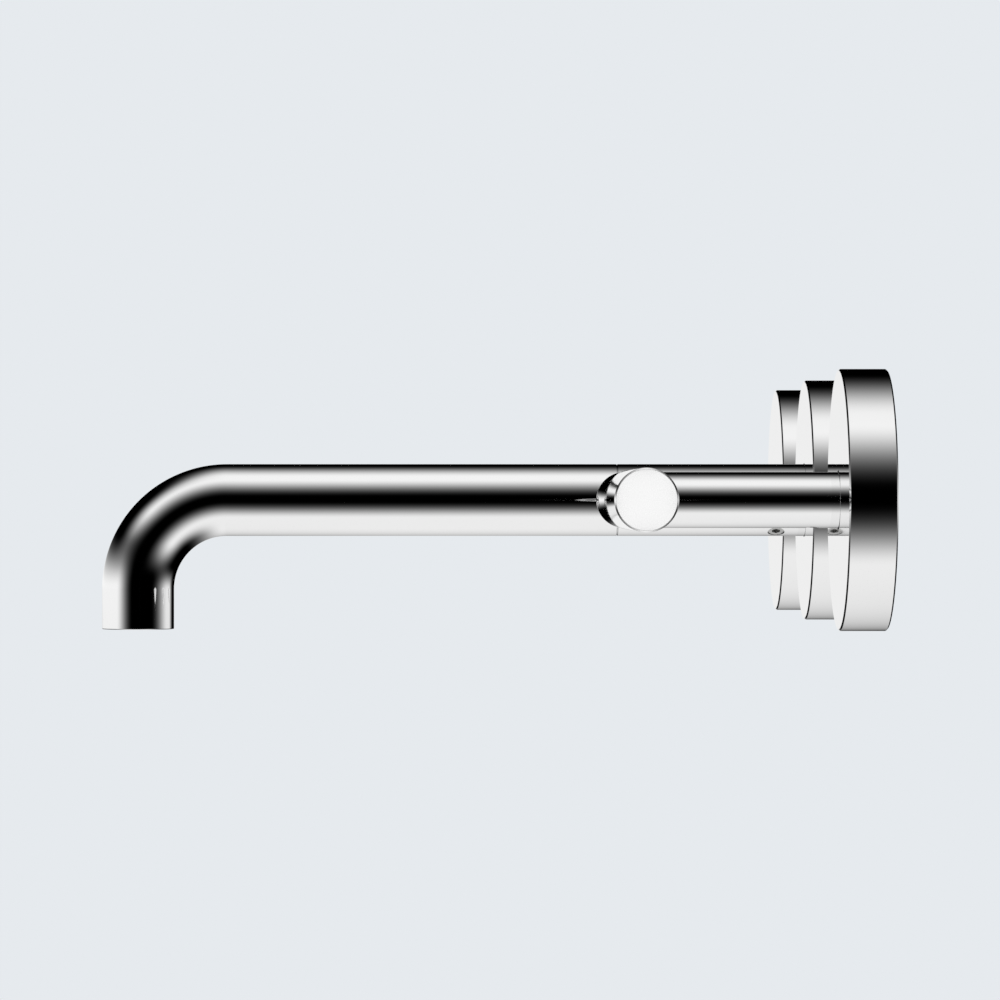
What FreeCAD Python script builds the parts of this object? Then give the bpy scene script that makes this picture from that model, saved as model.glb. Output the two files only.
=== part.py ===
import FreeCAD, Part

import math
import os

import Sketcher

# Wall mounted bath faucet: two quarter turn lever handles with a fixed spout between them.
# Millimetres. +Z is up, the finished wall is the plane Y = 0 and the room is at negative Y.
# The origin is where the spout's axis meets the wall.
# Along the fittings, places are given as "out": the distance out from the wall into the room.
# Pieces inside the wall have a negative "out".

DIMENSIONS = {
    # the set as a whole
    "handle_spacing": 101.6,
    "flange_diameter": 60.0,
    "flange_depth": 11.0,
    "flange_face": 3.0,
    "flange_rim": 3.0,
    "edge_chamfer": 0.35,
    "seal_out": 4.0,
    # spout
    "spout_diameter": 18.0,
    "spout_wall": 1.2,
    "spout_reach": 178.0,
    "spout_drop": 32.3,
    "bend_radius": 22.3,
    "joint_out": 58.0,
    "spigot_length": 14.0,
    "base_bore": 13.0,
    "base_start": 1.0,
    "spout_screw_out": 18.3,
    "spout_screw_angle": 63.0,
    "screw_diameter": 4.2,
    "screw_head_sink": 0.3,
    "hex_key": 2.0,
    "nipple_end": 44.0,
    "nipple_diameter": 12.8,
    "nipple_bore": 7.5,
    "nipple_thread": 18.0,
    "nipple_start": -36.0,
    "nipple_shoulder": -10.0,
    "nipple_groove": 9.8,
    "first_seal_out": 30.0,
    "second_seal_out": 37.0,
    "groove_width": 1.9,
    # aerator
    "aerator_length": 7.0,
    "aerator_wall": 0.8,
    "aerator_recess": 0.6,
    "washer_height": 1.5,
    # handles
    "hub_diameter": 12.8,
    "hub_start": -2.0,
    "hub_dome_out": 60.0,
    "hub_bore": 9.0,
    "hub_bore_end": 46.0,
    "hub_hole": 13.6,
    "lever_diameter": 13.7,
    "lever_out": 58.4,
    "lever_start": 3.0,
    "lever_end": 83.0,
    "stud_diameter": 6.0,
    "stud_start": -3.0,
    "stud_end": 16.0,
    "hub_screw_out": 17.0,
    "hub_screw_diameter": 3.2,
    "hub_hex_key": 1.5,
    "adapter_diameter": 8.96,
    "adapter_start": -8.0,
    "adapter_end": 24.0,
    "spindle_diameter": 6.0,
    "spindle_end": -1.0,
    # sleeve, bush and flange seal
    "sleeve_diameter": 22.0,
    "sleeve_bore": 15.0,
    "sleeve_end": 7.0,
    "sleeve_skirt": 28.0,
    "sleeve_shoulder": -10.0,
    "bush_start": 1.0,
    "bush_end": 6.0,
    "bearing_gap": 0.05,
    # concealed bodies
    "neck_diameter": 24.0,
    "neck_end": -16.0,
    "thread_gap": 0.1,
    "plate_front": -28.0,
    "plate_thickness": 2.0,
    "plate_length": 284.0,
    "plate_height": 46.0,
    "plate_corner": 6.0,
    "plate_hole": 5.5,
    "plate_hole_across": 264.0,
    "plate_hole_up": 30.0,
    "locknut_height": 6.0,
    "locknut_across_corners": 40.0,
    "barrel_diameter": 32.0,
    "valve_back": -79.0,
    "tee_back": -60.0,
    "inlet_out": -63.0,
    "inlet_drop": 34.0,
    "inlet_boss": 26.0,
    "inlet_thread": 19.0,
    "inlet_thread_depth": 14.0,
    "inlet_passage": 7.8,
    "tube_out": -44.0,
    "tube_diameter": 15.0,
    "tube_bore": 13.0,
    "tube_socket_depth": 10.0,
    "port_diameter": 20.0,
    "valve_port_reach": 28.0,
    "tee_port_reach": 26.0,
    "port_passage": 10.0,
    # cartridge
    "cartridge_diameter": 18.0,
    "cartridge_collar": 22.0,
    "cartridge_collar_end": -11.0,
    "cartridge_back": -54.0,
    "cartridge_chamber": 14.0,
    "chamber_end": -46.0,
    "cartridge_seal_height": 2.5,
    "disc_diameter": 13.6,
    "disc_height": 3.0,
    "disc_gap": 0.1,
    "disc_port": 4.0,
    "disc_port_radius": 3.6,
    "valve_chamber_back": -70.0,
}

doc = FreeCAD.newDocument("bath_faucet")
sheet = doc.addObject("Spreadsheet::Sheet", "dim")
for row, (alias, value) in enumerate(DIMENSIONS.items(), start=1):
    sheet.set(f"A{row}", alias)
    sheet.set(f"B{row}", str(value))
    sheet.setAlias(f"B{row}", alias)
doc.recompute()

OUTWARD = FreeCAD.Rotation(FreeCAD.Vector(1, 0, 0), 90)
SIDES = (("right", 1), ("left", -1))
parts = []


def bind(item, **expressions):
    """Tie properties to expressions on the sheet; double underscores stand for dots."""
    for name, expression in expressions.items():
        item.setExpression(name.replace("__", "."), str(expression))


def finished(item, label):
    """Name a finished piece and keep it for export."""
    item.Label = label
    parts.append(item)
    return item


# --- pieces made as a PartDesign body -------------------------------------------------


def origin_plane(body, role):
    return next(plane for plane in body.Origin.OriginFeatures if plane.Role == role)


def new_sketch(body, name, role, out="0"):
    """A sketch on one of the body's own planes, moved along that plane's normal."""
    sketch = body.newObject("Sketcher::SketchObject", name)
    sketch.AttachmentSupport = (origin_plane(body, role), [""])
    sketch.MapMode = "FlatFace"
    bind(sketch, AttachmentOffset__Base__z=out)
    return sketch


def add_circle(sketch, diameter, across="0", up="0"):
    """A circle whose diameter and centre are expressions."""
    centre = FreeCAD.Vector(0, 0, 0)
    index = sketch.addGeometry(Part.Circle(centre, FreeCAD.Vector(0, 0, 1), 5), False)
    constraints = (
        (Sketcher.Constraint("Diameter", index, 10), diameter),
        (Sketcher.Constraint("DistanceX", -1, 1, index, 3, 0), across),
        (Sketcher.Constraint("DistanceY", -1, 1, index, 3, 0), up),
    )
    for constraint, expression in constraints:
        number = sketch.addConstraint(constraint)
        sketch.setExpression(f"Constraints[{number}]", str(expression))


def add_disc(body, diameters, start, end, role="XZ_Plane"):
    """Pad one or two concentric circles from one distance out to another."""
    sketch = new_sketch(body, body.Name + "_outline", role, start)
    for diameter in diameters:
        add_circle(sketch, diameter)
    pad = body.newObject("PartDesign::Pad", body.Name + "_pad")
    pad.Profile = sketch
    bind(pad, Length=f"({end}) - ({start})")
    doc.recompute()
    return pad


def cut_disc(body, diameters, start, end, role="XZ_Plane", centres=(("0", "0"),)):
    """Pocket circles from one distance out to another, and check that they cut."""
    before = body.Shape.Volume
    sketch = new_sketch(body, body.Name + "_hole", role, start)
    for across, up in centres:
        for diameter in diameters:
            add_circle(sketch, diameter, across, up)
    pocket = body.newObject("PartDesign::Pocket", body.Name + "_pocket")
    pocket.Profile = sketch
    pocket.Reversed = True
    bind(pocket, Length=f"({end}) - ({start})")
    doc.recompute()
    if not body.Shape.Volume < before - 0.01:
        raise ValueError(f"{body.Name}: a pocket cut nothing")
    return pocket


def chamfer_circles(body, diameter, outs, size):
    """Chamfer the round edges of one diameter at the given distances out."""
    radius = sheet.get(diameter) / 2
    names = []
    for number, edge in enumerate(body.Shape.Edges, start=1):
        round_edge = isinstance(edge.Curve, Part.Circle)
        if round_edge and abs(edge.Curve.Radius - radius) < 0.01:
            if any(abs(edge.Curve.Center.y + out) < 0.01 for out in outs):
                names.append(f"Edge{number}")
    base = body.Tip
    chamfer = body.newObject("PartDesign::Chamfer", body.Name + "_chamfer")
    chamfer.Base = (base, names)
    bind(chamfer, Size=size)
    doc.recompute()


def turned(label, steps, holes=(), side=0):
    """A round piece on an axis square to the wall, from discs that add and holes that cut."""
    body = doc.addObject("PartDesign::Body", label)
    for diameter, start, end in steps:
        add_disc(body, (diameter,), start, end)
    for diameter, start, end in holes:
        cut_disc(body, (diameter,), start, end)
    bind(body, Placement__Base__x=f"{side} * dim.handle_spacing")
    return finished(body, label)


# --- pieces made from Part primitives ---------------------------------------------------


def bar(name, diameter, start, end, across="0"):
    """A round bar square to the wall."""
    item = doc.addObject("Part::Cylinder", name)
    item.Placement = FreeCAD.Placement(FreeCAD.Vector(), OUTWARD)
    bind(item, Radius=f"({diameter}) / 2", Height=f"({end}) - ({start})")
    bind(item, Placement__Base__x=across, Placement__Base__y=f"-({start})")
    return item


def cross_bar(name, diameter, start, end, out, side, up="0"):
    """A round bar that runs sideways, from one distance off the middle to another."""
    item = doc.addObject("Part::Cylinder", name)
    sideways = FreeCAD.Rotation(FreeCAD.Vector(0, 1, 0), 90 * side)
    item.Placement = FreeCAD.Placement(FreeCAD.Vector(), sideways)
    bind(item, Radius=f"({diameter}) / 2", Height=f"({end}) - ({start})")
    bind(item, Placement__Base__x=f"{side} * ({start})", Placement__Base__y=f"-({out})")
    bind(item, Placement__Base__z=up)
    return item


def post(name, diameter, low, high, out, across="0"):
    """A round upright bar between two heights."""
    item = doc.addObject("Part::Cylinder", name)
    bind(item, Radius=f"({diameter}) / 2", Height=f"({high}) - ({low})")
    bind(item, Placement__Base__x=across, Placement__Base__y=f"-({out})")
    bind(item, Placement__Base__z=low)
    return item


def ring(name, ring_radius, section, out, across="0"):
    """An O-ring round an axis square to the wall."""
    item = doc.addObject("Part::Torus", name)
    item.Placement = FreeCAD.Placement(FreeCAD.Vector(), OUTWARD)
    bind(item, Radius1=ring_radius, Radius2=section)
    bind(item, Placement__Base__x=across, Placement__Base__y=f"-({out})")
    return item


def joined(name, pieces):
    item = doc.addObject("Part::MultiFuse", name)
    item.Shapes = pieces
    return item


def group_of(name, pieces):
    """Several separate solids that share one node."""
    item = doc.addObject("Part::Compound", name)
    item.Links = pieces
    return item


def bored(name, solid, tools):
    item = doc.addObject("Part::Cut", name)
    item.Base = solid
    item.Tool = tools[0] if len(tools) == 1 else joined(name + "_tools", tools)
    return item


def socket_screw(name, diameter, key, foot, head):
    """A set screw on its own Z axis, with a hexagon socket in its outer end."""
    shank = doc.addObject("Part::Cylinder", name + "_shank")
    bind(shank, Radius=f"({diameter}) / 2", Height=f"({head}) - ({foot})")
    bind(shank, Placement__Base__z=foot)
    socket = doc.addObject("Part::Prism", name + "_socket")
    socket.Polygon = 6
    bind(socket, Circumradius=f"({key}) / 2 / cos(30)", Height=f"({head}) - ({foot})")
    bind(socket, Placement__Base__z=f"({head}) - ({key}) * 0.6")
    return bored(name, shank, [socket])


# --- flanges ----------------------------------------------------------------------------


def make_flange(label, side, hole, seat):
    """A push-on flange: a cup with its rim on the wall and a boss that grips the seal."""
    body = doc.addObject("PartDesign::Body", label)
    add_disc(body, ("dim.flange_diameter",), "0", "dim.flange_depth")
    back = "dim.flange_depth - dim.flange_face"
    recess = "dim.flange_diameter - 2 * dim.flange_rim"
    cut_disc(body, (recess, f"({seat}) + 5"), "0", back)
    cut_disc(body, (seat,), "0", back)
    cut_disc(body, (hole,), "0", "dim.flange_depth")
    chamfer_circles(body, "flange_diameter", (0, sheet.get("flange_depth")), "dim.edge_chamfer")
    bind(body, Placement__Base__x=f"{side} * dim.handle_spacing")
    return finished(body, label)


# --- spout ------------------------------------------------------------------------------


def spout_path(body, name):
    """The centreline: straight out, one bend, and straight down to the outlet."""
    reach = sheet.get("spout_reach")
    drop = sheet.get("spout_drop")
    bend = sheet.get("bend_radius")
    joint = sheet.get("joint_out")
    path = new_sketch(body, name, "YZ_Plane")
    turn = FreeCAD.Vector(bend - reach, -bend, 0)
    start = FreeCAD.Vector(-joint, 0, 0)
    bend_start = FreeCAD.Vector(bend - reach, 0, 0)
    bend_end = FreeCAD.Vector(-reach, -bend, 0)
    outlet = FreeCAD.Vector(-reach, -drop, 0)
    middle = turn + FreeCAD.Vector(-bend * math.cos(math.pi / 4), bend * math.sin(math.pi / 4), 0)
    path.addGeometry(Part.LineSegment(start, bend_start), False)
    path.addGeometry(Part.Arc(bend_start, middle, bend_end), False)
    path.addGeometry(Part.LineSegment(bend_end, outlet), False)
    path.addConstraint(Sketcher.Constraint("Tangent", 0, 2, 1, 1))
    path.addConstraint(Sketcher.Constraint("Tangent", 1, 2, 2, 1))
    path.addConstraint(Sketcher.Constraint("PointOnObject", 0, 1, -1))
    path.addConstraint(Sketcher.Constraint("Horizontal", 0))
    path.addConstraint(Sketcher.Constraint("Vertical", 2))
    driven = (
        (Sketcher.Constraint("DistanceX", 0, 1, -1, 1, joint), "dim.joint_out"),
        (Sketcher.Constraint("Radius", 1, bend), "dim.bend_radius"),
        (Sketcher.Constraint("DistanceX", 2, 2, -1, 1, reach), "dim.spout_reach"),
        (Sketcher.Constraint("DistanceY", 2, 2, -1, 1, drop), "dim.spout_drop"),
    )
    for constraint, expression in driven:
        number = path.addConstraint(constraint)
        path.setExpression(f"Constraints[{number}]", expression)
    return path


def make_spout_tube():
    body = doc.addObject("PartDesign::Body", "spout_tube")
    passes = (
        ("PartDesign::AdditivePipe", "dim.spout_diameter"),
        ("PartDesign::SubtractivePipe", "dim.spout_diameter - 2 * dim.spout_wall"),
    )
    for kind, diameter in passes:
        section = new_sketch(body, "spout_section", "XZ_Plane", "dim.joint_out")
        add_circle(section, diameter)
        path = spout_path(body, "spout_centreline")
        doc.recompute()
        sweep = body.newObject(kind, "spout_sweep")
        sweep.Profile = section
        sweep.Spine = (path, ["Edge1", "Edge2", "Edge3"])
        doc.recompute()
    chamfer_circles(body, "spout_diameter", (sheet.get("joint_out"),), "dim.edge_chamfer / 2")
    return finished(body, "spout_tube")


def make_spout_base():
    """The fixed stretch of the spout, with a spigot inside the tube and a tapped screw hole."""
    body = doc.addObject("PartDesign::Body", "spout_base_blank")
    spigot = "dim.spout_diameter - 2 * dim.spout_wall - 0.1"
    spigot_end = "dim.joint_out + dim.spigot_length"
    add_disc(body, ("dim.spout_diameter",), "dim.base_start", "dim.joint_out")
    add_disc(body, (spigot,), "dim.joint_out", spigot_end)
    cut_disc(body, ("dim.base_bore",), "dim.base_start", spigot_end)
    chamfer_circles(body, "spout_diameter", (sheet.get("joint_out"),), "dim.edge_chamfer / 2")
    hole = doc.addObject("Part::Cylinder", "spout_screw_hole")
    bind(hole, Radius="dim.screw_diameter / 2", Height="dim.spout_diameter")
    place_spout_screw(hole)
    return finished(bored("spout_base", body, [hole]), "spout_base")


def place_spout_screw(item):
    """Turn a piece on its own Z axis to the spout screw's direction, low on the +X side."""
    angle = sheet.get("spout_screw_angle")
    turn = FreeCAD.Rotation(FreeCAD.Vector(0, 1, 0), 90 + angle)
    item.Placement = FreeCAD.Placement(FreeCAD.Vector(), turn)
    bind(item, Placement__Base__y="-dim.spout_screw_out")


def make_spout():
    make_spout_tube()
    make_spout_base()
    make_flange("spout_flange", 0, "dim.spout_diameter + 0.4", "dim.spout_diameter + 2")
    seal = ring("spout_seal_ring", "dim.spout_diameter / 2 + 0.5", "0.48", "dim.seal_out")
    finished(seal, "spout_flange_seal")
    foot = "dim.nipple_diameter / 2 + 0.02"
    head = "dim.spout_diameter / 2 - dim.screw_head_sink"
    screw = socket_screw("spout_screw", "dim.screw_diameter - 0.1", "dim.hex_key", foot, head)
    place_spout_screw(screw)
    finished(screw, "spout_set_screw")


def make_nipple():
    steps = (
        ("dim.nipple_thread", "dim.nipple_start", "dim.nipple_shoulder"),
        ("dim.nipple_diameter", "dim.nipple_shoulder", "dim.nipple_end"),
    )
    nipple = turned("spout_nipple", steps)
    for seal_out in ("dim.first_seal_out", "dim.second_seal_out"):
        start = f"{seal_out} - dim.groove_width / 2"
        end = f"{seal_out} + dim.groove_width / 2"
        cut_disc(nipple, ("dim.nipple_diameter + 1", "dim.nipple_groove"), start, end)
    cut_disc(nipple, ("dim.nipple_bore",), "dim.nipple_start", "dim.nipple_end")
    radius = "(dim.nipple_groove + dim.base_bore) / 4"
    section = "(dim.base_bore - dim.nipple_groove) / 4 - 0.02"
    rings = [
        ring("nipple_ring_1", radius, section, "dim.first_seal_out"),
        ring("nipple_ring_2", radius, section, "dim.second_seal_out"),
    ]
    finished(group_of("nipple_rings", rings), "nipple_seals")


def make_aerator():
    """The outlet fitting: a ring screwed into the spout, a flow insert and a washer."""
    inside = "dim.spout_diameter - 2 * dim.spout_wall - 0.04"
    bore = f"{inside} - 2 * dim.aerator_wall"
    low = "-dim.spout_drop + dim.aerator_recess"
    high = f"{low} + dim.aerator_length"
    lip = f"{bore} - 1.6"
    out = "dim.spout_reach"
    shell = post("aerator_shell", inside, low, high, out)
    core = post("aerator_core", bore, f"{low} + 1", high, out)
    mouth = post("aerator_mouth", lip, f"{low} - 1", f"{low} + 2", out)
    finished(bored("aerator_ring", shell, [core, mouth]), "aerator_housing")

    insert = post("insert_disc", f"{bore} - 0.1", f"{low} + 1.02", f"{high} - 1", out)
    holes = []
    for circle, count in ((0.0, 1), (2.4, 6), (4.8, 12)):
        for number in range(count):
            angle = 2 * math.pi * number / count
            hole = post("jet", "1.5", f"{low} - 1", f"{high} + 1", out)
            bind(hole, Placement__Base__x=f"{circle * math.cos(angle):.4f}")
            bind(hole, Placement__Base__y=f"-dim.spout_reach + {circle * math.sin(angle):.4f}")
            holes.append(hole)
    finished(bored("flow_insert", insert, holes), "aerator_insert")

    top = f"{high} + dim.washer_height"
    washer = post("washer_disc", f"{inside} - 0.1", f"{high} + 0.02", top, out)
    eye = post("washer_eye", f"{bore} - 1", low, f"{top} + 1", out)
    finished(bored("washer_ring", washer, [eye]), "aerator_washer")


# --- concealed bodies -------------------------------------------------------------------


def tube_port(name, side, middle, reach):
    """A side port towards the spout or a handle: its boss, its socket and its passage."""
    end = f"({middle}) + ({reach})"
    socket = f"({middle}) + ({reach}) - dim.tube_socket_depth"
    boss = cross_bar(name + "_boss", "dim.port_diameter", middle, end, "dim.tube_out", side)
    pocket = cross_bar(name + "_socket", "dim.tube_diameter + 2 * dim.thread_gap",
                       socket, f"{end} + 1", "dim.tube_out", side)
    passage = cross_bar(name + "_passage", "dim.port_passage", middle, end, "dim.tube_out", side)
    return boss, [pocket, passage]


def make_valve_body(name, side):
    """The concealed valve: a barrel with a neck, an inlet below and a port to the spout."""
    across = f"{side} * dim.handle_spacing"
    prefix = f"valve_{name}"
    seat = "dim.cartridge_back - dim.cartridge_seal_height"
    barrel = bar(prefix + "_barrel", "dim.barrel_diameter", "dim.valve_back",
                 "dim.plate_front - dim.plate_thickness", across)
    neck = bar(prefix + "_neck", "dim.neck_diameter", "dim.valve_back", "dim.neck_end", across)
    inlet = post(prefix + "_inlet", "dim.inlet_boss", "-dim.inlet_drop", "0", "dim.inlet_out",
                 across)
    bore = bar(prefix + "_bore", "dim.cartridge_diameter + 2 * dim.thread_gap", seat,
               "dim.neck_end + 1", across)
    chamber = bar(prefix + "_chamber", "dim.cartridge_chamber", "dim.valve_chamber_back",
                  f"{seat} + 1", across)
    thread = post(prefix + "_thread", "dim.inlet_thread", "-dim.inlet_drop - 1",
                  "dim.inlet_thread_depth - dim.inlet_drop", "dim.inlet_out", across)
    supply = post(prefix + "_supply", "dim.inlet_passage", "-dim.inlet_drop", "0",
                  "dim.inlet_out", across)
    inner = cross_bar(prefix + "_port", "dim.port_diameter",
                      "dim.handle_spacing - dim.valve_port_reach", "dim.handle_spacing",
                      "dim.tube_out", side)
    socket = cross_bar(prefix + "_socket", "dim.tube_diameter + 2 * dim.thread_gap",
                       "dim.handle_spacing - dim.valve_port_reach - 1",
                       "dim.handle_spacing - dim.valve_port_reach + dim.tube_socket_depth",
                       "dim.tube_out", side)
    passage = cross_bar(prefix + "_passage", "dim.port_passage",
                        "dim.handle_spacing - dim.valve_port_reach", "dim.handle_spacing",
                        "dim.tube_out", side)
    solid = joined(prefix + "_casting", [barrel, neck, inlet, inner])
    tools = [bore, chamber, thread, supply, socket, passage]
    finished(bored(prefix, solid, tools), f"valve_body_{name}")


def make_tee():
    barrel = bar("tee_barrel", "dim.barrel_diameter", "dim.tee_back",
                 "dim.plate_front - dim.plate_thickness")
    neck = bar("tee_neck", "dim.neck_diameter", "dim.tee_back", "dim.neck_end")
    thread_end = "dim.nipple_start - 2"
    bore = bar("tee_bore", "dim.nipple_thread + 2 * dim.thread_gap", thread_end,
               "dim.neck_end + 1")
    chamber = bar("tee_chamber", "dim.cartridge_chamber", "dim.tube_out - 8",
                  f"{thread_end} + 1")
    solids = [barrel, neck]
    tools = [bore, chamber]
    for name, side in SIDES:
        boss, cuts = tube_port(f"tee_{name}", side, "0", "dim.tee_port_reach")
        solids.append(boss)
        tools += cuts
    casting = joined("tee_casting", solids)
    finished(bored("tee", casting, tools), "spout_tee")


def make_cross_tube(name, side):
    start = "dim.tee_port_reach - dim.tube_socket_depth + 0.1"
    end = "dim.handle_spacing - dim.valve_port_reach + dim.tube_socket_depth - 0.1"
    skin = cross_bar(f"tube_{name}_skin", "dim.tube_diameter", start, end, "dim.tube_out", side)
    hollow = cross_bar(f"tube_{name}_hollow", "dim.tube_bore", f"{start} - 1", f"{end} + 1",
                       "dim.tube_out", side)
    finished(bored(f"tube_{name}", skin, [hollow]), f"cross_tube_{name}")


def make_plate():
    """The steel plate behind the wall board that holds the three bodies at their spacing."""
    body = doc.addObject("PartDesign::Body", "mounting_plate")
    start = "dim.plate_front - dim.plate_thickness"
    sketch = new_sketch(body, "plate_outline", "XZ_Plane", start)
    half_length = sheet.get("plate_length") / 2
    half_height = sheet.get("plate_height") / 2
    corners = (
        FreeCAD.Vector(-half_length, -half_height, 0),
        FreeCAD.Vector(half_length, -half_height, 0),
        FreeCAD.Vector(half_length, half_height, 0),
        FreeCAD.Vector(-half_length, half_height, 0),
    )
    for number, corner in enumerate(corners):
        sketch.addGeometry(Part.LineSegment(corner, corners[(number + 1) % 4]), False)
    for number in range(4):
        sketch.addConstraint(Sketcher.Constraint("Coincident", number, 2, (number + 1) % 4, 1))
    for number, kind in enumerate(("Horizontal", "Vertical", "Horizontal", "Vertical")):
        sketch.addConstraint(Sketcher.Constraint(kind, number))
    sketch.addConstraint(Sketcher.Constraint("Symmetric", 0, 1, 1, 2, -1, 1))
    driven = (
        (Sketcher.Constraint("DistanceX", 0, 1, 0, 2, 2 * half_length), "dim.plate_length"),
        (Sketcher.Constraint("DistanceY", 1, 1, 1, 2, 2 * half_height), "dim.plate_height"),
    )
    for constraint, expression in driven:
        number = sketch.addConstraint(constraint)
        sketch.setExpression(f"Constraints[{number}]", expression)
    pad = body.newObject("PartDesign::Pad", "plate_pad")
    pad.Profile = sketch
    bind(pad, Length="dim.plate_thickness")
    doc.recompute()
    spots = [(f"{side} * dim.handle_spacing", "0") for side in (-1, 0, 1)]
    cut_disc(body, ("dim.neck_diameter + 0.6",), start, "dim.plate_front", centres=spots)
    spots = [(f"{across} * dim.plate_hole_across / 2", f"{up} * dim.plate_hole_up / 2")
             for across in (-1, 1) for up in (-1, 1)]
    cut_disc(body, ("dim.plate_hole",), start, "dim.plate_front", centres=spots)
    uprights = [f"Edge{number}" for number, edge in enumerate(body.Shape.Edges, start=1)
                if len(edge.Vertexes) == 2 and isinstance(edge.Curve, Part.Line)
                and abs(edge.Length - sheet.get("plate_thickness")) < 0.01]
    base = body.Tip
    fillet = body.newObject("PartDesign::Fillet", "plate_corners")
    fillet.Base = (base, uprights)
    bind(fillet, Radius="dim.plate_corner")
    doc.recompute()
    finished(body, "mounting_plate")


def make_locknuts():
    """Three hexagon nuts that clamp the bodies' necks to the plate."""
    nuts = []
    for number, side in enumerate((-1, 0, 1)):
        across = f"{side} * dim.handle_spacing"
        hexagon = doc.addObject("Part::Prism", f"locknut_{number}_hexagon")
        hexagon.Polygon = 6
        hexagon.Placement = FreeCAD.Placement(FreeCAD.Vector(), OUTWARD)
        bind(hexagon, Circumradius="dim.locknut_across_corners / 2", Height="dim.locknut_height")
        bind(hexagon, Placement__Base__x=across, Placement__Base__y="-dim.plate_front")
        eye = bar(f"locknut_{number}_eye", "dim.neck_diameter + 2 * dim.thread_gap",
                  "dim.plate_front - 1", "dim.plate_front + dim.locknut_height + 1", across)
        nuts.append(bored(f"locknut_{number}", hexagon, [eye]))
    finished(group_of("locknuts", nuts), "body_locknuts")


# --- handle units -----------------------------------------------------------------------


def make_cartridge(name, side):
    """A quarter turn ceramic cartridge: body, seal, two discs and the spindle."""
    across = f"{side} * dim.handle_spacing"
    steps = (
        ("dim.cartridge_diameter", "dim.cartridge_back", "dim.neck_end"),
        ("dim.cartridge_collar", "dim.neck_end", "dim.cartridge_collar_end"),
    )
    holes = (
        ("dim.cartridge_chamber", "dim.cartridge_back", "dim.chamber_end"),
        ("dim.spindle_diameter + 2 * dim.bearing_gap", "dim.chamber_end",
         "dim.cartridge_collar_end"),
    )
    turned(f"cartridge_body_{name}", steps, holes, side)

    seal_back = "dim.cartridge_back - dim.cartridge_seal_height"
    turned(f"cartridge_seal_{name}",
           (("dim.cartridge_diameter - 0.2", seal_back, "dim.cartridge_back"),),
           (("dim.cartridge_chamber - 2", seal_back, "dim.cartridge_back"),), side)

    disc_back = "dim.cartridge_back + dim.disc_gap"
    for kind in ("fixed", "turning"):
        prefix = f"disc_{kind}_{name}"
        disc_front = f"{disc_back} + dim.disc_height"
        plain = bar(prefix + "_plain", "dim.disc_diameter", disc_back, disc_front, across)
        ports = [
            bar(f"{prefix}_port_{number}", "dim.disc_port", f"{disc_back} - 1",
                f"{disc_front} + 1", f"{across} + {direction} * dim.disc_port_radius")
            for number, direction in enumerate((-1, 1))
        ]
        finished(bored(prefix, plain, ports), f"ceramic_disc_{kind}_{name}")
        disc_back = f"{disc_front} + dim.disc_gap"

    turned(f"spindle_{name}",
           (("dim.disc_diameter - 0.6", disc_back, "dim.chamber_end - dim.disc_gap"),
            ("dim.spindle_diameter", "dim.chamber_end - dim.disc_gap", "dim.spindle_end")),
           (), side)


def make_sleeve(name, side):
    """The sleeve on the valve neck that carries the flange, its bush and its seal."""
    skirt_start = "dim.plate_front + dim.locknut_height + 0.1"
    steps = (
        ("dim.sleeve_skirt", skirt_start, "dim.sleeve_shoulder"),
        ("dim.sleeve_diameter", "dim.sleeve_shoulder", "dim.sleeve_end"),
    )
    holes = (
        ("dim.neck_diameter + 2 * dim.thread_gap", skirt_start, "dim.sleeve_shoulder - 0.5"),
        ("dim.sleeve_bore", "dim.sleeve_shoulder - 0.5", "dim.sleeve_end"),
    )
    sleeve = turned(f"mounting_sleeve_{name}", steps, holes, side)
    groove_start = "dim.seal_out - 0.7"
    groove_end = "dim.seal_out + 0.7"
    cut_disc(sleeve, ("dim.sleeve_diameter + 1", "dim.sleeve_diameter - 1.6"),
             groove_start, groove_end)
    across = f"{side} * dim.handle_spacing"
    seal = ring(f"flange_ring_{name}", "dim.sleeve_diameter / 2 - 0.16", "0.62", "dim.seal_out",
                across)
    finished(seal, f"flange_seal_{name}")
    turned(f"glide_bush_{name}",
           (("dim.sleeve_bore - 0.04", "dim.bush_start", "dim.bush_end"),),
           (("dim.hub_diameter + 2 * dim.bearing_gap", "dim.bush_start", "dim.bush_end"),), side)


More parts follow.
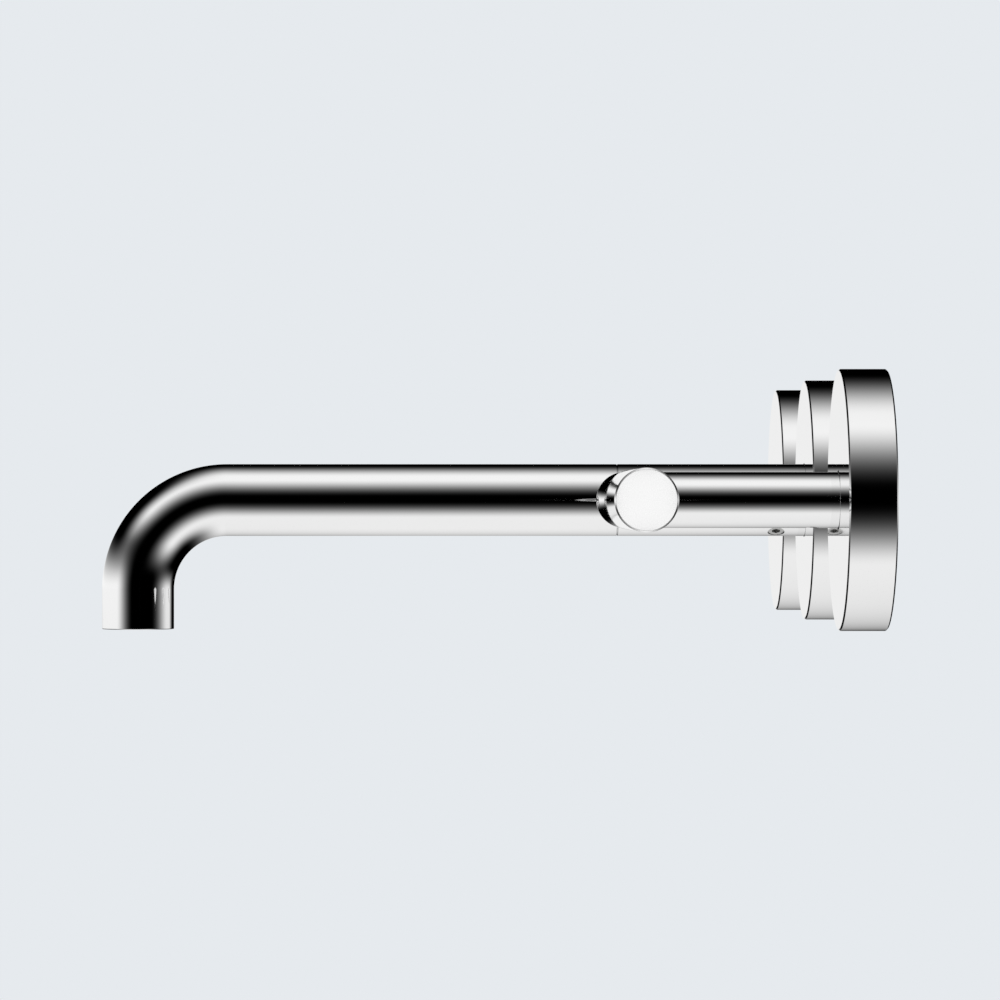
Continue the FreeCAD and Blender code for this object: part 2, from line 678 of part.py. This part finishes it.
def make_hub(name, side):
    """The slim hub with a domed end, bored for its stem, its screw and the lever's stud."""
    across = f"{side} * dim.handle_spacing"
    prefix = f"hub_{name}"
    shaft = bar(prefix + "_shaft", "dim.hub_diameter", "dim.hub_start", "dim.hub_dome_out",
                across)
    dome = doc.addObject("Part::Sphere", prefix + "_dome")
    bind(dome, Radius="dim.hub_diameter / 2", Placement__Base__x=across)
    bind(dome, Placement__Base__y="-dim.hub_dome_out")
    stem_bore = bar(prefix + "_stem_bore", "dim.hub_bore", "dim.hub_start - 1",
                    "dim.hub_bore_end", across)
    stud_hole = cross_bar(prefix + "_stud_hole", "dim.stud_diameter",
                          "dim.handle_spacing + dim.stud_start",
                          "dim.handle_spacing + dim.hub_diameter", "dim.lever_out", side)
    screw_hole = post(prefix + "_screw_hole", "dim.hub_screw_diameter",
                      "-dim.hub_diameter", "0", "dim.hub_screw_out", across)
    solid = joined(prefix + "_solid", [shaft, dome])
    finished(bored(prefix, solid, [stem_bore, stud_hole, screw_hole]), prefix)

    foot = "dim.adapter_diameter / 2 + 0.01"
    head = "dim.hub_diameter / 2 - 0.1"
    screw = socket_screw(f"hub_screw_{name}", "dim.hub_screw_diameter - 0.06",
                         "dim.hub_hex_key", foot, head)
    downward = FreeCAD.Rotation(FreeCAD.Vector(1, 0, 0), 180)
    screw.Placement = FreeCAD.Placement(FreeCAD.Vector(), downward)
    bind(screw, Placement__Base__x=across, Placement__Base__y="-dim.hub_screw_out")
    finished(screw, f"hub_set_screw_{name}")


def make_lever(name, side):
    """The round lever, coped to sit on the hub, with a chamfered end and a blind stud hole."""
    prefix = f"lever_{name}"
    middle = "dim.handle_spacing"
    start = f"{middle} + dim.lever_start"
    taper_start = f"{middle} + dim.lever_end - dim.edge_chamfer"
    rod = cross_bar(prefix + "_rod", "dim.lever_diameter", start, taper_start, "dim.lever_out",
                    side)
    tip = doc.addObject("Part::Cone", prefix + "_tip")
    tip.Placement = rod.Placement
    bind(tip, Radius1="dim.lever_diameter / 2", Height="dim.edge_chamfer")
    bind(tip, Radius2="dim.lever_diameter / 2 - dim.edge_chamfer")
    bind(tip, Placement__Base__x=f"{side} * ({taper_start})")
    bind(tip, Placement__Base__y="-dim.lever_out")
    cope = bar(prefix + "_cope", "dim.hub_diameter + 0.04", "0", "dim.hub_dome_out",
               f"{side} * dim.handle_spacing")
    cope_end = doc.addObject("Part::Sphere", prefix + "_cope_end")
    bind(cope_end, Radius="dim.hub_diameter / 2 + 0.02")
    bind(cope_end, Placement__Base__x=f"{side} * dim.handle_spacing")
    bind(cope_end, Placement__Base__y="-dim.hub_dome_out")
    stud_hole = cross_bar(prefix + "_stud_hole", "dim.stud_diameter", middle,
                          f"{middle} + dim.stud_end + 0.5", "dim.lever_out", side)
    solid = joined(prefix + "_solid", [rod, tip])
    finished(bored(prefix, solid, [cope, cope_end, stud_hole]), prefix)

    stud = cross_bar(f"stud_{name}", "dim.stud_diameter - 0.06",
                     f"{middle} + dim.stud_start + 0.1", f"{middle} + dim.stud_end",
                     "dim.lever_out", side)
    finished(stud, f"lever_stud_{name}")


def make_handle_unit(name, side):
    make_flange(f"flange_{name}", side, "dim.hub_hole", "dim.sleeve_diameter + 1")
    make_sleeve(name, side)
    make_valve_body(name, side)
    make_cartridge(name, side)
    turned(f"stem_adapter_{name}",
           (("dim.adapter_diameter", "dim.adapter_start", "dim.adapter_end"),),
           (("dim.spindle_diameter + 0.06", "dim.adapter_start", "dim.spindle_end + 0.5"),), side)
    make_hub(name, side)
    make_lever(name, side)
    make_cross_tube(name, side)


def export_parts():
    """Check every object, then write each piece to its own file."""
    doc.recompute()
    for item in doc.Objects:
        if "Invalid" in item.State or "Error" in item.State:
            raise ValueError(f"{item.Name} failed to build: {item.State}")
    os.makedirs("parts", exist_ok=True)
    for item in parts:
        shape = item.Shape
        if shape.isNull() or not shape.isValid():
            raise ValueError(f"{item.Label} has no valid shape")
        shape.exportStep(f"parts/{item.Label}.step")


make_spout()
make_nipple()
make_aerator()
make_tee()
make_plate()
make_locknuts()
for side_name, side_sign in SIDES:
    make_handle_unit(side_name, side_sign)
export_parts()
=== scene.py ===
import math

import bmesh
import bpy
from mathutils import Matrix, Vector


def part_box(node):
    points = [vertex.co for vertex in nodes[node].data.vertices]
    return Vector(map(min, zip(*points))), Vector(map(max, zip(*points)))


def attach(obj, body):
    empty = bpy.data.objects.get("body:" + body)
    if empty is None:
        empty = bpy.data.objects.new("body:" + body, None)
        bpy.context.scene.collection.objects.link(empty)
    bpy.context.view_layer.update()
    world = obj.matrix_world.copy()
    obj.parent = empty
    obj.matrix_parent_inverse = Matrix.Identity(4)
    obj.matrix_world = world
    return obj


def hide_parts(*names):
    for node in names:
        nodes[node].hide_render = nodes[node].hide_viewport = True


# Wall mounted bath faucet, in metres. +Z is up, the wall is the plane Y = 0, the room is at -Y.

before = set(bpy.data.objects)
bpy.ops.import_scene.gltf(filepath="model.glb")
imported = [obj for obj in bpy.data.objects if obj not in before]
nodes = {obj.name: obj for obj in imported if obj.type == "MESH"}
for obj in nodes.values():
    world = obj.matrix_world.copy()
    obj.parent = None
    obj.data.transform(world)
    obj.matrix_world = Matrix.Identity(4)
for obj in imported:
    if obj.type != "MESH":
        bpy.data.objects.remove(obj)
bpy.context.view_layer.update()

SIDES = (("right", 1), ("left", -1))
CHROME = 0.89


# --- node helpers -----------------------------------------------------------------------


class Nodes:
    """A node tree being filled: add() makes a node, link() joins two sockets."""

    def __init__(self, tree):
        self.tree = tree
        tree.nodes.clear()

    def add(self, kind, **values):
        node = self.tree.nodes.new(kind)
        for name, value in values.items():
            setattr(node, name, value)
        return node

    def link(self, source, target):
        self.tree.links.new(source, target)

    def math(self, operation, first, second=None):
        node = self.add("ShaderNodeMath", operation=operation)
        for socket, value in zip(node.inputs, (first, second)):
            if isinstance(value, (int, float)):
                socket.default_value = value
            elif value is not None:
                self.link(value, socket)
        return node.outputs[0]

    def ramp(self, factor, stops):
        """Coloured stops, each a place from 0 to 1 and a colour."""
        node = self.add("ShaderNodeValToRGB")
        elements = node.color_ramp.elements
        while len(elements) < len(stops):
            elements.new(0.5)
        for element, (place, colour) in zip(elements, stops):
            element.position = place
            element.color = (*colour, 1)
        self.link(factor, node.inputs[0])
        return node.outputs[0]

    def remap(self, value, low, high):
        """Map a 0 to 1 value to a range."""
        node = self.add("ShaderNodeMapRange")
        node.inputs["To Min"].default_value = low
        node.inputs["To Max"].default_value = high
        self.link(value, node.inputs["Value"])
        return node.outputs[0]

    def noise(self, place, scale, detail=4.0, roughness=0.5):
        node = self.add("ShaderNodeTexNoise")
        node.inputs["Scale"].default_value = scale
        node.inputs["Detail"].default_value = detail
        node.inputs["Roughness"].default_value = roughness
        self.link(place, node.inputs["Vector"])
        return node.outputs[0]

    def stretched(self, place, scale):
        """Coordinates squeezed or stretched along each axis."""
        node = self.add("ShaderNodeMapping")
        node.inputs["Scale"].default_value = scale
        self.link(place, node.inputs["Vector"])
        return node.outputs[0]


def linear(level):
    """A display level, 0 to 255, as linear light."""
    value = level / 255
    return value / 12.92 if value <= 0.04045 else ((value + 0.055) / 1.055) ** 2.4


# --- materials ----------------------------------------------------------------------------


def finish_material(name, metallic, colours, rough, grain, bump, blotch=25.0, turned=0.0,
                    specular=0.5):
    """A metal, plastic, rubber or ceramic skin.

    colours: darkest and lightest tint. rough: lowest and highest roughness.
    grain: scale of the fine grain along X, Y and Z. bump: its depth in metres.
    turned: depth in metres of tool rings square to Y.
    """
    material = bpy.data.materials.new(name)
    material.use_nodes = True
    tree = Nodes(material.node_tree)
    out = tree.add("ShaderNodeOutputMaterial")
    shader = tree.add("ShaderNodeBsdfPrincipled")
    tree.link(shader.outputs[0], out.inputs["Surface"])
    place = tree.add("ShaderNodeTexCoord").outputs["Object"]
    shader.inputs["Metallic"].default_value = metallic
    shader.inputs["Specular IOR Level"].default_value = specular

    broad = tree.noise(place, blotch, 5.0)
    fine = tree.noise(tree.stretched(place, grain), 1.0, 3.0, 0.6)
    if colours[0] == colours[1]:
        shader.inputs["Base Color"].default_value = (*colours[0], 1)
    else:
        tint = tree.ramp(broad, ((0.3, colours[0]), (0.7, colours[1])))
        tree.link(tint, shader.inputs["Base Color"])
    mixed = tree.math("ADD", tree.math("MULTIPLY", broad, 0.6), tree.math("MULTIPLY", fine, 0.4))
    tree.link(tree.remap(mixed, *rough), shader.inputs["Roughness"])

    height = tree.math("MULTIPLY", fine, bump)
    if turned:
        wave = tree.add("ShaderNodeTexWave", bands_direction="Y", wave_profile="SIN")
        wave.inputs["Scale"].default_value = 900.0
        wave.inputs["Distortion"].default_value = 0.4
        tree.link(place, wave.inputs["Vector"])
        height = tree.math("ADD", height, tree.math("MULTIPLY", wave.outputs["Fac"], turned))
    relief = tree.add("ShaderNodeBump")
    relief.inputs["Strength"].default_value = 1.0
    relief.inputs["Distance"].default_value = 1.0
    tree.link(height, relief.inputs["Height"])
    tree.link(relief.outputs[0], shader.inputs["Normal"])
    return material


chrome = finish_material("chrome", 1.0, ((CHROME,) * 3,) * 2, (0.02, 0.05),
                         (1400, 160, 1400), 2e-8)
steel = finish_material("satin_steel", 1.0, ((0.5, 0.5, 0.5), (0.62, 0.62, 0.61)),
                        (0.22, 0.42), (200, 3000, 3000), 3e-6)
cast_brass = finish_material("cast_brass", 1.0, ((0.6, 0.42, 0.19), (0.78, 0.58, 0.3)),
                             (0.35, 0.6), (900, 900, 900), 4e-5, 60.0)
brass = finish_material("turned_brass", 1.0, ((0.72, 0.52, 0.24), (0.84, 0.64, 0.33)),
                        (0.16, 0.32), (600, 600, 600), 2e-6, 40.0, 6e-6)
copper = finish_material("drawn_copper", 1.0, ((0.62, 0.3, 0.19), (0.82, 0.46, 0.33)),
                         (0.2, 0.45), (60, 2200, 2200), 4e-6, 70.0)
rubber = finish_material("seal_rubber", 0.0, ((0.012, 0.012, 0.013), (0.03, 0.03, 0.032)),
                         (0.45, 0.7), (2500, 2500, 2500), 8e-6)
plastic = finish_material("acetal", 0.0, ((0.55, 0.56, 0.57), (0.66, 0.67, 0.68)),
                          (0.3, 0.45), (1800, 1800, 1800), 4e-6)
ceramic = finish_material("ceramic", 0.0, ((0.8, 0.8, 0.78), (0.88, 0.88, 0.86)),
                          (0.12, 0.25), (1500, 1500, 1500), 2e-6)

BY_SLOT = {
    "polished_chrome": chrome,
    "steel": steel,
    "brass": brass,
    "copper": copper,
    "seal_rubber": rubber,
    "plastic": plastic,
    "ceramic": ceramic,
}
CAST = ("valve_body_right", "valve_body_left", "spout_tee")

for name, item in nodes.items():
    for number, slot in enumerate(item.material_slots):
        skin = cast_brass if name in CAST else BY_SLOT[slot.material.name.split(".")[0]]
        item.data.materials[number] = skin


# --- polished pieces ------------------------------------------------------------------------

MM = 0.001
EDGE = 0.35 * MM
SOFT = 0.08 * MM
LIP = 0.2 * MM
CLEARANCE = 0.2 * MM
FLANGE_WALL = 3 * MM
FLANGE_BOSS_WALL = 2.5 * MM
SPOUT_SEAT_WALL = 1 * MM
HUB_HOLE = 6.8 * MM
SLEEVE_SEAT = 11.5 * MM
BEND_RADIUS = 22.3 * MM
TUBE_WALL = 1.2 * MM
SPIGOT_GAP = 0.05 * MM
BASE_BORE = 6.5 * MM
SPOUT_SCREW_HOLE = 2.1 * MM
HUB_BORE = 4.5 * MM
HUB_BORE_END = 46 * MM
HUB_SCREW_HOLE = 1.6 * MM
LEVER_START = 3 * MM
ROUND_STEPS = 192
BEND_STEPS = 72
DOME_STEPS = 32
EASE_POINTS = 5
SHARP_FROM = 50


def eased(corners, closed=True):
    """Round each corner of a profile whose third value is a radius above 0."""
    points = []
    for number, (radius, along, ease) in enumerate(corners):
        here = Vector((radius, along))
        if not ease:
            points.append(here)
            continue
        before = Vector(corners[number - 1][:2]) - here
        after = Vector(corners[(number + 1) % len(corners)][:2]) - here
        half = before.angle(after) / 2
        reach = min(ease / math.tan(half), before.length * 0.45, after.length * 0.45)
        first = here + before.normalized() * reach
        last = here + after.normalized() * reach
        for step in range(EASE_POINTS):
            share = step / (EASE_POINTS - 1)
            points.append(first.lerp(here, share).lerp(here.lerp(last, share), share))
    return points, closed


def straight(origin, axis):
    """Places along a straight axis, with two directions square to it."""
    axis = Vector(axis).normalized()
    side = axis.orthogonal().normalized()
    return lambda along: (Vector(origin) + axis * along, side, axis.cross(side))


def spun(name, profile, place, body, replaced):
    """A piece swept round its centre line from a profile of radii and places along it."""
    points, closed = profile
    shape = bmesh.new()
    rings = []
    for radius, along in points:
        centre, first, second = place(along)
        if radius == 0:
            rings.append([shape.verts.new(centre)])
            continue
        rings.append([
            shape.verts.new(centre + (first * math.cos(turn) + second * math.sin(turn)) * radius)
            for turn in (2 * math.pi * step / ROUND_STEPS for step in range(ROUND_STEPS))
        ])
    pairs = list(zip(rings, rings[1:] + rings[:1]))
    for lower, upper in pairs if closed else pairs[:-1]:
        for step in range(ROUND_STEPS):
            following = (step + 1) % ROUND_STEPS
            if len(lower) == 1:
                corners = (lower[0], upper[following], upper[step])
            elif len(upper) == 1:
                corners = (lower[step], lower[following], upper[0])
            else:
                corners = (lower[step], lower[following], upper[following], upper[step])
            shape.faces.new(corners)
    bmesh.ops.recalc_face_normals(shape, faces=shape.faces)
    mesh = bpy.data.meshes.new(name)
    shape.to_mesh(mesh)
    shape.free()
    mesh.materials.append(chrome)
    piece = bpy.data.objects.new(name, mesh)
    bpy.context.scene.collection.objects.link(piece)
    settle(piece)
    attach(piece, body)
    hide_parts(replaced)
    return piece


def settle(piece):
    """Smooth shading with crisp corners, and flat faces that stay flat in reflections."""
    piece.data.shade_smooth()
    piece.data.set_sharp_from_angle(angle=math.radians(SHARP_FROM))
    weighted = piece.modifiers.new("weighted", "WEIGHTED_NORMAL")
    weighted.keep_sharp = True


def drilled(piece, start, direction, radius, length):
    """Cut a round hole from start, along direction."""
    way = Vector(direction).normalized()
    cutter = bmesh.new()
    bmesh.ops.create_cone(cutter, cap_ends=True, segments=64, radius1=radius, radius2=radius,
                          depth=length)
    turn = way.to_track_quat("Z", "Y").to_matrix().to_4x4()
    cutter.transform(Matrix.Translation(Vector(start) + way * length / 2) @ turn)
    mesh = bpy.data.meshes.new("cutter")
    cutter.to_mesh(mesh)
    cutter.free()
    tool = bpy.data.objects.new("cutter", mesh)
    bpy.context.scene.collection.objects.link(tool)
    piece.modifiers.clear()
    cut = piece.modifiers.new("hole", "BOOLEAN")
    cut.object = tool
    cut.operation = "DIFFERENCE"
    cut.solver = "EXACT"
    depsgraph = bpy.context.evaluated_depsgraph_get()
    result = bpy.data.meshes.new_from_object(piece.evaluated_get(depsgraph))
    piece.modifiers.clear()
    piece.data = result
    bpy.data.objects.remove(tool)
    settle(piece)


def make_flange(name, across, hole, seat):
    low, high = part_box(name)
    rim = (high.z - low.z) / 2
    depth = -low.y
    back = depth - FLANGE_WALL
    inner = rim - FLANGE_WALL
    boss = seat + FLANGE_BOSS_WALL
    corners = (
        (rim - EDGE, 0, SOFT), (rim, EDGE, SOFT), (rim, depth - EDGE, SOFT),
        (rim - EDGE, depth, SOFT), (hole, depth, SOFT), (hole, back, 0), (seat, back, 0),
        (seat, 0, SOFT), (boss, 0, SOFT), (boss, back, 0), (inner, back, 0), (inner, 0, SOFT),
    )
    place = straight((across, 0, 0), (0, -1, 0))
    spun(name + "_polished", eased(corners), place, "fixed_set", name)


spacing = (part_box("flange_right")[0].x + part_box("flange_right")[1].x) / 2
spout_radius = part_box("spout_tube")[1].x
make_flange("spout_flange", 0, spout_radius + CLEARANCE, spout_radius + SPOUT_SEAT_WALL)
for side, sign in SIDES:
    make_flange(f"flange_{side}", sign * spacing, HUB_HOLE, SLEEVE_SEAT)

# The spout: its base, and the tube that goes straight out, bends and drops to the outlet.
joint = -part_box("spout_tube")[1].y
reach = -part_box("spout_tube")[0].y - spout_radius
drop = -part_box("spout_tube")[0].z
bend = BEND_RADIUS
bend_start = reach - bend
bend_length = bend * math.pi / 2


def along_spout(along):
    """The spout's centre line, from the wall outwards, round the bend and down."""
    sideways = Vector((1, 0, 0))
    if along <= bend_start:
        return Vector((0, -along, 0)), sideways, Vector((0, 0, 1))
    turned = min((along - bend_start) / bend, math.pi / 2)
    past = max(along - bend_start - bend_length, 0)
    centre = Vector((0, -bend_start - bend * math.sin(turned),
                     -bend + bend * math.cos(turned) - past))
    return centre, sideways, Vector((0, -math.sin(turned), math.cos(turned)))


tube_end = bend_start + bend_length + drop - bend
tube_bore = spout_radius - TUBE_WALL
outside, _ = eased(((tube_bore, joint, SOFT), (spout_radius - EDGE / 2, joint, SOFT),
                    (spout_radius, joint + EDGE / 2, SOFT), (spout_radius, tube_end, LIP),
                    (tube_bore, tube_end, LIP)))
inside_run = [bend_start + bend_length * step / BEND_STEPS for step in range(BEND_STEPS + 1)]
edge_count = 3 * EASE_POINTS
profile = [*outside[:edge_count],
           *(Vector((spout_radius, along)) for along in inside_run),
           *outside[edge_count:],
           *(Vector((tube_bore, along)) for along in reversed(inside_run))]
spun("spout_tube_polished", (profile, True), along_spout, "fixed_set", "spout_tube")

base_start = -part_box("spout_base")[1].y
spigot_end = -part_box("spout_base")[0].y
spigot = tube_bore - SPIGOT_GAP
base = spun("spout_base_polished", eased((
    (BASE_BORE, base_start, 0), (spout_radius, base_start, SOFT),
    (spout_radius, joint - EDGE / 2, SOFT), (spout_radius - EDGE / 2, joint, SOFT),
    (spigot, joint, 0), (spigot, spigot_end, SOFT), (BASE_BORE, spigot_end, 0),
)), straight((0, 0, 0), (0, -1, 0)), "fixed_set", "spout_base")
screw_low, screw_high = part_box("spout_set_screw")
screw_middle = (screw_low + screw_high) / 2
drilled(base, (0, screw_middle.y, 0), (screw_middle.x, 0, screw_middle.z), SPOUT_SCREW_HOLE,
        spout_radius * 2)

# The handles: a slim hub with a domed end, and the lever that stands out from it.
for side, sign in SIDES:
    low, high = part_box(f"hub_{side}")
    hub_radius = (high.z - low.z) / 2
    hub_start = -high.y
    dome = -low.y - hub_radius
    corners = [(0, HUB_BORE_END, 0), (HUB_BORE, HUB_BORE_END, 0), (HUB_BORE, hub_start, 0),
               (hub_radius, hub_start, SOFT), (hub_radius, dome, 0)]
    points, _ = eased(corners)
    for step in range(1, DOME_STEPS):
        turn = math.pi / 2 * step / DOME_STEPS
        points.append(Vector((hub_radius * math.cos(turn), dome + hub_radius * math.sin(turn))))
    points.append(Vector((0, dome + hub_radius)))
    place = straight((sign * spacing, 0, 0), (0, -1, 0))
    hub = spun(f"hub_{side}_polished", (points, False), place, f"handle_{side}", f"hub_{side}")
    screw_low, screw_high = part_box(f"hub_set_screw_{side}")
    screw_middle = (screw_low + screw_high) / 2
    drilled(hub, (sign * spacing, screw_middle.y, 0), (0, 0, -1), HUB_SCREW_HOLE,
            hub_radius * 1.5)

    low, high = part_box(f"lever_{side}")
    lever_radius = (high.z - low.z) / 2
    lever_out = -(low.y + high.y) / 2
    length = high.x - low.x
    end = LEVER_START + length
    corners = ((0, LEVER_START, 0), (lever_radius, LEVER_START, SOFT),
               (lever_radius, end - EDGE, SOFT),
               (lever_radius - EDGE, end, SOFT), (0, end, 0))
    place = straight((sign * spacing, -lever_out, 0), (sign, 0, 0))
    spun(f"lever_{side}_polished", (eased(corners)[0], False), place, f"handle_{side}",
         f"lever_{side}")

# These lie behind the wall and the flanges, out of sight, so polished metal does not mirror
# them, and a lamp behind the wall lights them alone.
BEHIND = 3 * MM
concealed = bpy.data.collections.new("concealed")
for name, node in nodes.items():
    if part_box(name)[1].y > -BEHIND:
        node.visible_glossy = False
        concealed.objects.link(node)


# --- stage ---------------------------------------------------------------------------------

BACKGROUND = tuple(linear(level) for level in (230, 234, 238))


def slab(name, low, high, material):
    """A plain box, for the stage only."""
    mesh = bpy.data.meshes.new(name)
    item = bpy.data.objects.new(name, mesh)
    bpy.context.scene.collection.objects.link(item)
    shape = bmesh.new()
    bmesh.ops.create_cube(shape, size=1.0)
    size = Vector(high) - Vector(low)
    middle = (Vector(high) + Vector(low)) / 2
    bmesh.ops.scale(shape, vec=size, verts=shape.verts)
    bmesh.ops.translate(shape, vec=middle, verts=shape.verts)
    shape.to_mesh(mesh)
    shape.free()
    mesh.materials.append(material)
    item.visible_glossy = False
    return item


def matte(name, level, glow):
    material = bpy.data.materials.new(name)
    material.use_nodes = True
    shader = material.node_tree.nodes["Principled BSDF"]
    shader.inputs["Base Color"].default_value = (level, level, level, 1)
    shader.inputs["Roughness"].default_value = 0.9
    shader.inputs["Emission Color"].default_value = (*BACKGROUND, 1)
    shader.inputs["Emission Strength"].default_value = glow
    return material


def glowing(name, colour):
    material = bpy.data.materials.new(name)
    material.use_nodes = True
    tree = Nodes(material.node_tree)
    out = tree.add("ShaderNodeOutputMaterial")
    shader = tree.add("ShaderNodeEmission")
    shader.inputs["Color"].default_value = (*colour, 1)
    tree.link(shader.outputs[0], out.inputs["Surface"])
    return material


pale = matte("stage_pale", 0.6, 0.68)
wall = slab("stage_wall", (-0.33, 0.0001, -0.6), (0.33, 0.0275, 0.2), pale)
wall.data.materials.append(glowing("stage_wall_front", BACKGROUND))
for face in wall.data.polygons:
    if face.normal.y < -0.5:
        face.material_index = 1
slab("stage_floor", (-2, -2, -0.62), (2, 2, -0.6), pale)


# --- light ----------------------------------------------------------------------------------

DISPLAY_GAMMA = 2.2

world = bpy.data.worlds.new("studio")
world.use_nodes = True
bpy.context.scene.world = world
sky = Nodes(world.node_tree)
direction = sky.add("ShaderNodeSeparateXYZ")
sky.link(sky.add("ShaderNodeTexCoord").outputs["Generated"], direction.inputs[0])
along, across, up = direction.outputs
angle = sky.math("DIVIDE", sky.math("ARCCOSINE", along), math.pi / 180)


def product(*factors):
    result = factors[0]
    for factor in factors[1:]:
        result = sky.math("MULTIPLY", result, factor)
    return result


def inverse(value):
    return sky.math("SUBTRACT", 1.0, value)


def pick(factor, low, high):
    """low where factor is 0, high where it is 1."""
    return sky.math("ADD", product(low, inverse(factor)), product(factor, high))


def rise(value, start, end):
    """0 up to start, then smoothly to 1 at end."""
    node = sky.add("ShaderNodeMapRange", interpolation_type="SMOOTHSTEP")
    node.inputs["From Min"].default_value = start
    node.inputs["From Max"].default_value = end
    sky.link(value, node.inputs["Value"])
    return node.outputs[0]


def panel(level, start, full, fade=180, gone=181):
    """A soft panel: degrees from +X, the camera's side, where it starts, is full and fades."""
    return product(level, rise(angle, start, full), inverse(rise(angle, fade, gone)))


# The studio is four soft panels round the X axis, dark on the camera's side.
above = panel(0.95, 5, 70, 80, 150)
below = panel(0.92, 0, 60, 100, 300)
room = panel(0.95, 10, 70)
wall_panel = panel(0.9, 40, 110, 120, 150)

# Round the X axis, "tilt" is 0 level with it and 1 straight above or below it. The panels do
# not meet behind the object: the corners between them are dark.
wall_side = sky.math("GREATER_THAN", across, 0.0)
overhead = sky.math("GREATER_THAN", up, 0.0)
radius = sky.math("SQRT", sky.math("ADD", product(up, up), product(across, across)))
steep = sky.math("DIVIDE", sky.math("ABSOLUTE", up), sky.math("MAXIMUM", radius, 1e-6))
tilt = sky.math("DIVIDE", sky.math("ARCSINE", steep), math.pi / 2)
corner = product(inverse(rise(tilt, 0.5, 1.0)), rise(angle, 60, 120))
upright = product(pick(overhead, below, above), rise(tilt, 0.1, 0.5), inverse(corner))
sideways = product(pick(wall_side, room, wall_panel), inverse(rise(tilt, 0.0, 0.3)))
# One more panel stands far behind, straight across from the camera's side.
shade = pick(rise(angle, 170, 175), sky.math("ADD", upright, sideways), 0.9)
light = sky.math("DIVIDE", sky.math("POWER", shade, DISPLAY_GAMMA), CHROME)
studio = sky.add("ShaderNodeBackground")
studio.inputs["Color"].default_value = (1, 1, 1, 1)
sky.link(light, studio.inputs["Strength"])
plain = sky.add("ShaderNodeBackground")
plain.inputs["Color"].default_value = (*BACKGROUND, 1)
choice = sky.add("ShaderNodeMixShader")
sky.link(sky.add("ShaderNodeLightPath").outputs["Is Camera Ray"], choice.inputs[0])
sky.link(studio.outputs[0], choice.inputs[1])
sky.link(plain.outputs[0], choice.inputs[2])
sky.link(choice.outputs[0], sky.add("ShaderNodeOutputWorld").inputs["Surface"])

# A small card near the camera's place whitens the flat end of the near lever.
card = bpy.data.lights.new("card", "AREA")
card.shape = "SQUARE"
card.size = 0.03
card.energy = 0.003
card_item = bpy.data.objects.new("card", card)
bpy.context.scene.collection.objects.link(card_item)
card_item.location = (1.0, -0.023, 0)
card_item.rotation_euler = (0, math.pi / 2, 0)
card_item.visible_camera = False

# A lamp behind the wall, for the concealed pieces only.
rear = bpy.data.lights.new("rear", "AREA")
rear.shape = "SQUARE"
rear.size = 1.2
rear.energy = 2.5
rear_item = bpy.data.objects.new("rear", rear)
bpy.context.scene.collection.objects.link(rear_item)
rear_item.location = (0, 0.9, 0.3)
rear_item.rotation_euler = (-math.radians(108), 0, 0)
rear_item.visible_camera = False
rear_item.light_linking.receiver_collection = concealed


# --- camera ---------------------------------------------------------------------------------

camera = bpy.data.objects.new("camera", bpy.data.cameras.new("camera"))
bpy.context.scene.collection.objects.link(camera)
camera.data.lens = 166
camera.data.sensor_width = 36
camera.location = (1.1566, -0.1003, 0)
aim = Vector((0, -0.0873, 0)) - camera.location
camera.rotation_euler = aim.to_track_quat("-Z", "Y").to_euler()
bpy.context.scene.camera = camera
bpy.context.scene.view_settings.view_transform = "Standard"
